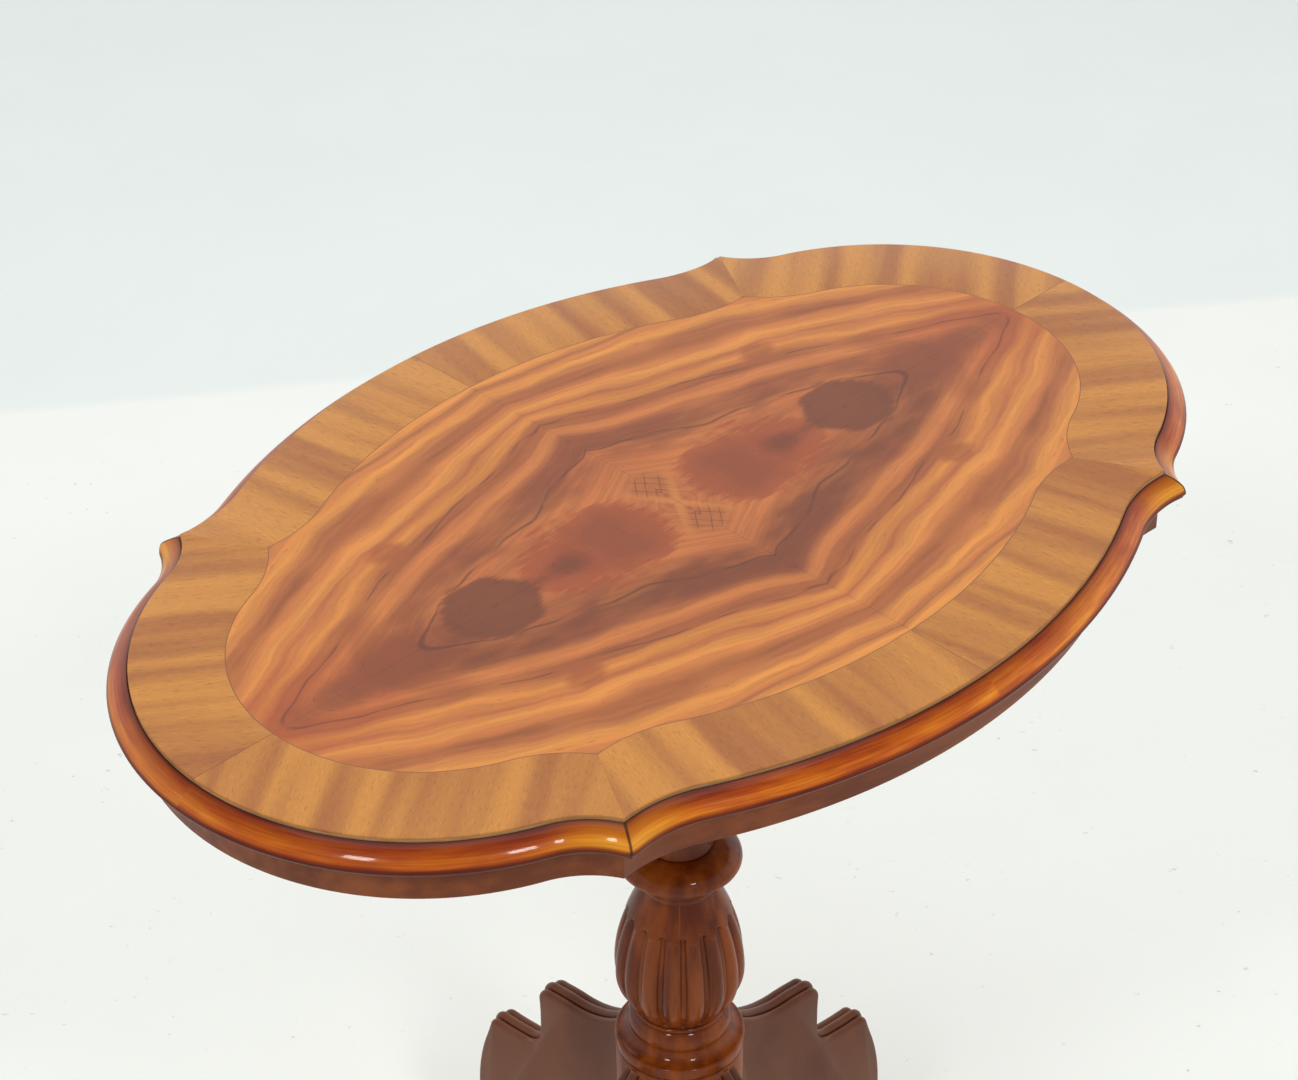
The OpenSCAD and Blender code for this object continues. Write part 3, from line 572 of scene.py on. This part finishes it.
def band_piece(kind, quarter):
    """One quarter of the crossbanding, its upper arris eased and its inner edge a dark line."""
    inner = rail(kind, 0.0, N_LOBE, N_HOLLOW[kind], band=True)
    outer = rail(kind, 0.0, N_LOBE, N_HOLLOW[kind])
    rows = []
    for a, b in zip(inner, outer):
        width = np.linalg.norm(b - a)
        section = [(0.0, VENEER_BOTTOM), (0.0, TOP_Z), (LINE / width, TOP_Z), (1 - 0.7 / width, TOP_Z),
                   (1 - 0.35 / width, TOP_Z - 0.08), (1 - 0.1 / width, TOP_Z - 0.3), (1.0, TOP_Z - 0.6),
                   (1.0, VENEER_BOTTOM)]
        rows.append([(*(a + (b - a) * t), z) for t, z in section])
    verts, faces = strip(rows, close=True, flip=kind == "end", caps=True)
    m = len(rows[0])
    material_index = [1 if k % m == 1 else 0 for k in range((len(rows) - 1) * m)] + [0, 0]
    verts, faces = mirrored(verts, faces, *QUARTERS[quarter])
    name = f"band_{kind}_{quarter}"
    make(name + "_fine", verts, faces, [BAND[kind], JOINT], "top", name, 30.0,
         material_index)


def sides(points, turn):
    """Unit normals along an open run of points, turn 1 for its left side and -1 for its right."""
    back, ahead = np.roll(points, 1, 0), np.roll(points, -1, 0)
    back[0], ahead[-1] = 2 * points[0] - points[1], 2 * points[-1] - points[-2]
    tangent = ahead - back
    normal = turn * np.stack([-tangent[:, 1], tangent[:, 0]], 1)
    return normal / np.linalg.norm(normal, axis=1)[:, None]


def leaf_piece(quarter):
    """One quarter of the figured veneer, with a dark line along the crossbanding."""
    end = rail("end", 0.0, N_LOBE, 16, band=True)
    side = rail("side", 0.0, N_LOBE, 12, band=True)
    edge = np.vstack([end, side[::-1][1:]])
    normal = sides(edge, -1)
    inset = edge - LINE * normal
    inset[0, 1], inset[-1, 0] = 0.0, 0.0
    n = len(edge)
    verts = [(*p, TOP_Z) for p in inset] + [(0, 0, TOP_Z)] + [(*p, TOP_Z) for p in edge]
    verts += [(*p, VENEER_BOTTOM) for p in edge] + [(0, 0, VENEER_BOTTOM)]
    faces, material_index = [tuple(range(n + 1))], [0]
    for i in range(n - 1):
        faces.append((i, n + 1 + i, n + 2 + i, i + 1))
        faces.append((n + 1 + i, 2 * n + 1 + i, 2 * n + 2 + i, n + 2 + i))
        material_index += [1, 0]
    faces.append(tuple(range(2 * n + 1, 3 * n + 2))[::-1])
    material_index.append(0)
    verts, faces = mirrored(verts, faces, *QUARTERS[quarter])
    name = "leaf_" + quarter
    make(name + "_fine", verts, faces, [FLAME, JOINT], "top", name, 30.0,
         material_index)


# ---- Edge moulding and apron -------------------------------------------------------------

EDGE_SECTION = (
    [(0.02, -18.0), (0.02, -2.9), (0.5, -2.75), (0.9, -2.65)]
    + arc(-6.7, -23.35, 22.0, 68, 27.5, 16)
    + arc(11.4, -13.94, 1.58, 18, -75, 7)
    + [(10.9, -15.6)]
    + arc(9.2, -16.6, 1.4, 45, -80, 6)
    + [(8.8, -18.0)]
)
TIP_FREE, TIP_SOFT = 11.0, 5.0


def section_places(section):
    """Place of each point across the section, 0 at the quirk and 1 at the foot."""
    lengths = [0.0]
    for a, b in zip(section[1:-1], section[2:]):
        lengths.append(lengths[-1] + math.dist(a, b))
    return [0.0] + [v / lengths[-1] for v in lengths]


def blunted(points):
    """Rounds off the tip of the moulding where it runs out past the veneer's corner."""
    reach = (points - CUSP) @ MITRE
    past = np.maximum(reach - TIP_FREE, 0.0)
    return points - np.outer(past - TIP_SOFT * (1 - np.exp(-past / TIP_SOFT)), MITRE)


def edge_piece(kind, quarter):
    """One length of the moulding, its section swept from the middle of a lobe to the mitre."""
    rails = [blunted(rail(kind, x, 48, 24)) for x, _ in EDGE_SECTION]
    n = len(rails[0])
    rows = [[(*rails[j][i], TOP_Z + z) for j, (_, z) in enumerate(EDGE_SECTION)] for i in range(n)]
    verts, faces = strip(rows, close=True, flip=kind != "end", caps=True)
    middle = rails[len(rails) // 2]
    run = np.concatenate([[0.0], np.cumsum(np.linalg.norm(np.diff(middle, axis=0), axis=1))])
    places = section_places(EDGE_SECTION)
    uv = [((run[-1] - run[i]) / 100.0, v) for i in range(n) for v in places]
    verts, faces = mirrored(verts, faces, *QUARTERS[quarter])
    name = f"edge_{kind}_{quarter}"
    make(name + "_fine", verts, faces, [EDGE], "top", name, 28.0, uv=uv)


APRON_SECTION = [
    (-19.0, 682.0), (-1.0, 682.0), (-1.0, 658.2), (-1.4, 657.35), (-2.2, 657.0), (-18.0, 657.0),
    (-19.0, 658.0)]


def apron_piece(name, kind, quarters):
    """One side of the apron, made from the two quarters that it spans."""
    rails = [rail(kind, x, 48, 20) for x, _ in APRON_SECTION]
    rows = [[(*rails[j][i], z) for j, (_, z) in enumerate(APRON_SECTION)] for i in range(len(rails[0]))]
    all_verts, all_faces = [], []
    for quarter in quarters:
        verts, faces = strip(rows, close=True, flip=kind == "end", caps=True)
        verts, faces = mirrored(verts, faces, *QUARTERS[quarter])
        base = len(all_verts)
        all_verts += list(verts)
        all_faces += [tuple(base + i for i in f) for f in faces]
    make(name + "_fine", all_verts, all_faces, [APRON], "top", name, 30.0)


for q in QUARTERS:
    leaf_piece(q)
    for kind in ("end", "side"):
        band_piece(kind, q)
        edge_piece(kind, q)
apron_piece("apron_right", "end", ("ne", "se"))
apron_piece("apron_left", "end", ("nw", "sw"))
apron_piece("apron_back", "side", ("ne", "nw"))
apron_piece("apron_front", "side", ("se", "sw"))

# ---- Column ------------------------------------------------------------------------------

SHAFT = (
    [(0, 395.0), (20.0, 395.0), (22.5, 399.5), (24.2, 403.0)]
    + spline([(24.0, 404.5), (23.5, 410.0), (24.6, 414.5), (27.0, 418.0)], 4)
    + [(27.6, 418.15)]
    + arc(28.0, 425.5, 13.0, -84, -7, 11, ry=7.35)
    + arc(22.4, 425.5, 18.6, 0, 84, 14, ry=12.5)
    + [(22.2, 438.0), (22.3, 438.4)]
    + spline([(22.2, 438.8), (21.2, 441.5), (20.3, 446.0), (20.1, 450.0)], 4)
    + spline([(20.2, 452.0), (22.0, 478.0), (22.9, 505.0), (21.9, 540.0), (20.0, 575.0), (18.9, 598.0)])
    + [(19.2, 598.3), (19.8, 598.6)]
    + arc(18.5, 603.0, 4.5, -75, 75, 12)
    + [(19.6, 607.5), (17.4, 607.8), (17.1, 608.3)]
    + arc(33.0, 610.5, 15.9, 180, 108, 12)
    + [(28.4, 625.9), (30.0, 642.2), (31.6, 643.6), (32.0, 644.6), (32.0, 654.2), (0, 654.2)]
)

BLOCK = (
    [(0, 142.0), (41.2, 142.0), (42.4, 142.8), (42.9, 144.0), (42.9, 264.2), (42.6, 264.7), (41.6, 265.2)]
    + [(41.4, 265.8), (41.7, 266.3), (42.9, 266.9), (43.45, 267.6), (43.6, 268.6), (43.6, 273.0)]
    + [(43.45, 274.0), (42.9, 274.8), (42.2, 275.15)]
    + arc(42.6, 284.6, 9.4, 268, 200, 12)
    + [(33.5, 281.9), (33.6, 282.3), (34.3, 282.6)]
    + arc(27.0, 287.5, 7.8, -26, 66, 18, ry=10.5)
    + [(30.3, 297.2), (30.85, 297.6), (30.95, 298.4), (30.5, 299.2), (29.6, 299.8), (28.0, 300.0)]
    + [(0, 300.0)]
)

verts, faces = lathe(SHAFT)
make("column_shaft_fine", verts, faces, [COLUMN], "base", "column_shaft", 38.0)
verts, faces = lathe(BLOCK)
make("leg_block_fine", verts, faces, [COLUMN], "base", "leg_block", 38.0)

REEDS, REED_PHASE = 16, 3.75
VASE_BOTTOM, VASE_BELLY, VASE_NECK, VASE_TOP = 300.0, 333.5, 403.5, 406.0
FOOT_R, BELLY_R, NECK_R = 29.0, 43.8, 23.0
REED_HEAD, HEAD_RISE = 377.6, 4.2
GROOVE_START, REED_HALF, PITCH_HALF = 7.3, 7.7, 180 / REEDS
CROWN_DROP, REED_DROP, GROOVE_DROP = 0.5, 1.9, 1.5


def vase_radius(z):
    """Radius of the vase's plain body at a height."""
    if z >= VASE_NECK:
        return NECK_R + 0.4 * (z - VASE_NECK)
    if z >= VASE_BELLY:
        quarter_turn = math.radians(90 * (z - VASE_BELLY) / (VASE_NECK - VASE_BELLY))
        return NECK_R + (BELLY_R - NECK_R) * math.cos(quarter_turn) ** 0.85
    return FOOT_R + (BELLY_R - FOOT_R) * (1 - ((VASE_BELLY - z) / (VASE_BELLY - VASE_BOTTOM)) ** 2.1) ** 0.85


def ease(t):
    """Smooth step from 0 to 1."""
    t = min(max(t, 0.0), 1.0)
    return t * t * (3 - 2 * t)


def reed_depth(off):
    """Depth under the plain vase at an angle off the reed's middle, in degrees."""
    off = abs(off)
    if off < REED_HALF:
        return CROWN_DROP + REED_DROP * (off / REED_HALF) ** 2.2
    return CROWN_DROP + REED_DROP + GROOVE_DROP * ease((off - REED_HALF) / 1.6)


def vase_mesh():
    """The vase, whose reeds end in rounded heads over its belly and die away at its foot."""
    half = [0.0, 1.4, 2.9, 4.4, 5.8, 6.7, GROOVE_START, REED_HALF, 8.2, 8.7, 9.3, 10.2]
    offs = [-PITCH_HALF] + [-o for o in half[:0:-1]] + half
    columns = [(REED_PHASE + PITCH_HALF * (2 * k + 1) + o, o) for k in range(REEDS) for o in offs]
    levels = list(np.linspace(VASE_BOTTOM, 306, 10)) + list(np.linspace(307, 374, 46))
    levels += list(np.linspace(374.6, 387, 42)) + list(np.linspace(388, VASE_TOP, 16))
    rows = []
    for z in levels:
        foot = ease((z - VASE_BOTTOM) / 3.0)
        plain = vase_radius(z)
        row = []
        for angle, off in columns:
            head = REED_HEAD + HEAD_RISE * ease(abs(off) / PITCH_HALF)
            under = ease((head + 0.5 - z) / 1.0)
            if abs(off) > GROOVE_START:
                under = ease((head + 2.5 - z) / 5.0) * 0.75 + 0.25 * under
            r = plain - under * foot * reed_depth(off) * min(plain / 43.0, 1.0)
            a = math.radians(angle)
            row.append((r * math.cos(a), r * math.sin(a), z))
        rows.append(row)
    return strip(rows, close=True, caps=True)


verts, faces = vase_mesh()
make("reeded_vase_fine", verts, faces, [COLUMN], "base", "reeded_vase", 32.0)

# ---- Legs --------------------------------------------------------------------------------

ARCH = arc(50.0, 20.0, 122.0, 78, 0, 30)
TOP_EDGE = (
    arc(103.0, 312.5, 79.0, 219.5, 270, 22)
    + [(110.0, 232.9), (116.0, 232.1), (119.5, 231.6)]
    + arc(121.0, 222.5, 9.0, 88, 0, 12)
    + [(129.6, 217.0), (129.3, 210.0), (129.4, 200.0)]
    + arc(151.5, 192.0, 22.0, 180, 266, 16)
    + [(158.0, 169.0), (165.0, 168.2), (171.0, 167.8)]
    + arc(176.5, 160.5, 7.0, 95, 12, 10)
    + [(186.0, 154.0)]
    + arc(39.0, 90.0, 160.0, 21, -11.5, 22)
    + arc(225.0, 57.4, 30.0, 181, 261, 16)
    + arc(218.0, 14.0, 14.0, 80, -88, 22)
)
UNDER_EDGE = (
    [(218.0, 0.0), (183.5, 0.0), (181.0, 0.0), (175.2, 6.0)]
    + ARCH[::-1]
    + [(68.0, 142.0), (40.0, 142.0)]
)
HALF_LEG = 10.0
# Across the plank: the middle reed's half width, where the outer reed starts, its middle, its half
# width, and where the rounded arris starts
MID_HALF, OUTER_START, OUTER_MIDDLE, OUTER_HALF, ARRIS = 3.75, 3.7, 6.7, 3.0, 9.0


def reed_height(t, fade):
    """How far the leg's upper edge stands over the plank's outline, t across the plank."""
    t = abs(t)
    if t < OUTER_START:
        h = -1.4 + 3.6 * math.sqrt(max(1 - (t / MID_HALF) ** 2, 0.0))
    elif t < ARRIS:
        h = -1.9 + 2.1 * math.sqrt(max(1 - ((t - OUTER_MIDDLE) / OUTER_HALF) ** 2, 0.0))
    else:
        h = -0.55 - 2.1 * ((t - ARRIS) / (HALF_LEG - ARRIS)) ** 2
    return h * fade + (1 - fade) * (-0.4 if t < 9.4 else -0.9)


def leg_mesh():
    """A leg along +X: the reeded upper edge, two flat cheeks and the edge below."""
    top = np.array(TOP_EDGE)
    normal = sides(top, 1)
    half = [0, 0.8, 1.7, 2.6, 3.3, 3.7, 3.95, 4.3, 5.0, 5.8, 6.6, 7.4, 8.2, 8.9, 9.4, 9.75, HALF_LEG]
    across = [-t for t in half[:0:-1]] + half
    n, m, k = len(top), len(across), len(UNDER_EDGE)
    rows = []
    for i in range(n):
        fade = ease((n - 6 - i) / 12.0)
        rows.append([(*(top[i] + normal[i] * reed_height(t, fade)), t) for t in across])
    verts, faces = strip(rows)
    verts = [(u, t, z) for u, z, t in verts]
    base = len(verts)
    for side in (-1, 1):
        verts += [(u, side * HALF_LEG, z) for u, z in UNDER_EDGE]
    left_cheek = [i * m for i in range(n)] + [base + i for i in range(k)]
    right_cheek = [i * m + m - 1 for i in range(n)] + [base + k + i for i in range(k)]
    faces.append(tuple(left_cheek[::-1]))
    faces.append(tuple(right_cheek))
    for i in range(k - 1):
        faces.append((base + i, base + i + 1, base + k + i + 1, base + k + i))
    tip_ring = [(n - 1) * m + j for j in range(m)]
    faces.append((*tip_ring, base + k, base))
    root_ring = list(range(m))
    faces.append((*root_ring[::-1], base + k - 1, base + 2 * k - 1))
    return np.array(verts), faces


def face_outwards(obj, sharp):
    """Makes every face of a closed mesh point outwards, and marks its sharp edges again."""
    work = bmesh.new()
    work.from_mesh(obj.data)
    bmesh.ops.recalc_face_normals(work, faces=work.faces)
    work.to_mesh(obj.data)
    work.free()
    obj.data.set_sharp_from_angle(angle=math.radians(sharp))


def leg_piece(name, quarter_turns):
    """The leg along +X, turned about the column by quarter turns."""
    verts, faces = leg_mesh()
    c, s = direction(90 * quarter_turns).round()
    turned = [(c * x - s * y, s * x + c * y, z) for x, y, z in verts]
    obj = make(name + "_fine", turned, faces, [LEG], "base", name, 32.0)
    face_outwards(obj, 32.0)


for name, turns in (("leg_right", 0), ("leg_back", 1), ("leg_left", 2), ("leg_front", 3)):
    leg_piece(name, turns)

# ---- CAD nodes that are shown as they are ------------------------------------------------

# Node name: its material, its slot and the width of its rounded edges in millimetres
SHOWN = {
    "core_board": (CORE, "core_wood", 0),
    "glue_blocks": (CORE, "core_wood", 0.8),
    "bearer_right": (BEARER, "bearer_wood", 1.0),
    "bearer_left": (BEARER, "bearer_wood", 1.0),
    "tilt_block": (BEARER, "bearer_wood", 0),
    "pivot_pin_right": (BEARER, "bearer_wood", 0),
    "pivot_pin_left": (BEARER, "bearer_wood", 0),
    "tenon_wedge": (WEDGE, "wedge_wood", 0),
    "bearer_screws": (STEEL, "steel", 0),
    "spider_screws": (STEEL, "steel", 0),
    "catch_leaf_spring": (STEEL, "steel", 0),
    "catch_bolt": (STEEL, "steel", 0.3),
    "catch_case": (BRASS, "brass", 0.3),
    "catch_screws": (BRASS, "brass", 0),
    "catch_knob": (BRASS, "brass", 0),
    "strike_plate": (BRASS, "brass", 0),
    "strike_screws": (BRASS, "brass", 0),
    "spider_plate": (IRON, "iron", 0.4),
}
for node, (material, slot_name, bevel) in SHOWN.items():
    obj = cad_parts[node]
    obj.data.materials.clear()
    obj.data.materials.append(material)
    obj.data.polygons.foreach_set("material_index", [0] * len(obj.data.polygons))
    if bevel:
        rounding = obj.modifiers.new("rounding", "BEVEL")
        rounding.width = bevel * MM
        rounding.segments = 2
        rounding.limit_method = "ANGLE"
        rounding.harden_normals = False

# ---- Floor and light ---------------------------------------------------------------------

FLOOR_REACH = 9.0
# Beyond the line through these two places the ground is a shade cooler, like a pale wall
WALL_LEFT, WALL_RIGHT = np.array([363.0, 1341.0]), np.array([1487.0, 524.0])


def floor_material():
    """A pale floor with faint specks on the near side of the wall line."""
    g = Graph("floor")
    x, y, _ = g.object_xyz()
    dx, dy = unit(WALL_RIGHT - WALL_LEFT)
    cloud = g.sub(g.noise(g.vector(g.mul(x, 0.0035), g.mul(y, 0.0035)), 5.0, 0.65), 0.5)
    beyond = g.sub(g.mul(g.sub(y, WALL_LEFT[1]), dx), g.mul(g.sub(x, WALL_LEFT[0]), dy))
    past = g.add(beyond, g.mul(cloud, 30.0))
    tone = g.mix(g.rise(past, -12.0, 12.0), "f6f8f2", "ecf2ee")
    tone = g.shade(tone, g.rise(cloud, -0.2, 0.2, 0.99, 1.01))
    speck = g.noise(g.vector(g.mul(g.add(x, y), 0.075), g.mul(g.sub(x, y), 0.045)), 3.0, 0.7)
    patch = g.noise(g.vector(g.mul(x, 0.008), g.mul(y, 0.008), 4.0), 2.0)
    dots = g.mul(g.rise(speck, 0.66, 0.73), g.rise(patch, 0.44, 0.58))
    tone = g.mix(g.mul(dots, g.rise(past, 0.0, -200.0, 0.0, 0.6)), tone, "aaaaa0")
    return g.finish(tone, 0.6, specular=0.3)


floor_data = bpy.data.meshes.new("floor")
corners = [(-1, -1), (1, -1), (1, 1), (-1, 1)]
floor_data.from_pydata([(FLOOR_REACH * x, FLOOR_REACH * y, 0) for x, y in corners], [], [(0, 1, 2, 3)])
floor_data.materials.append(floor_material())
floor = bpy.data.objects.new("floor", floor_data)
bpy.context.scene.collection.objects.link(floor)


def room():
    """A bright backdrop behind the table, and a darker room above it and on the near side."""
    world = bpy.data.worlds.new("world")
    bpy.context.scene.world = world
    world.use_nodes = True
    tree = world.node_tree
    background = tree.nodes["Background"]
    coords = tree.nodes.new("ShaderNodeTexCoord")
    split = tree.nodes.new("ShaderNodeSeparateXYZ")
    across = tree.nodes.new("ShaderNodeMath")
    both = tree.nodes.new("ShaderNodeMath")
    both.operation = "MULTIPLY"
    tree.links.new(coords.outputs["Generated"], split.inputs[0])
    tree.links.new(split.outputs[0], across.inputs[0])
    tree.links.new(split.outputs[1], across.inputs[1])
    tree.links.new(smooth_range(tree, split.outputs[2], 0.40, 0.72, 1.28, 0.48), both.inputs[0])
    tree.links.new(smooth_range(tree, across.outputs[0], -1.0, 0.5, 0.55, 1.08), both.inputs[1])
    tree.links.new(both.outputs[0], background.inputs["Strength"])
    background.inputs["Color"].default_value = (0.98, 0.99, 1.0, 1.0)


def area_light(name, place, target, width, power):
    """A square light that faces a target, in metres and watts."""
    data = bpy.data.lights.new(name, "AREA")
    data.shape = "RECTANGLE"
    data.size, data.size_y = width, width
    data.energy = power
    light = bpy.data.objects.new(name, data)
    bpy.context.scene.collection.objects.link(light)
    light.location = place
    light.rotation_mode = "QUATERNION"
    light.rotation_quaternion = (Vector(target) - Vector(place)).to_track_quat("-Z", "Y")


room()
area_light("key_left", (-2.3, -0.7, 2.9), (0, 0, 0.5), 0.42, 20)
area_light("key_right", (-0.7, -2.3, 2.9), (0, 0, 0.5), 0.42, 20)
area_light("ceiling", (0.6, 0.6, 3.6), (0, 0, 0), 3.2, 42)

bpy.context.scene.view_settings.view_transform = "Standard"
bpy.context.scene.view_settings.exposure = 0.0
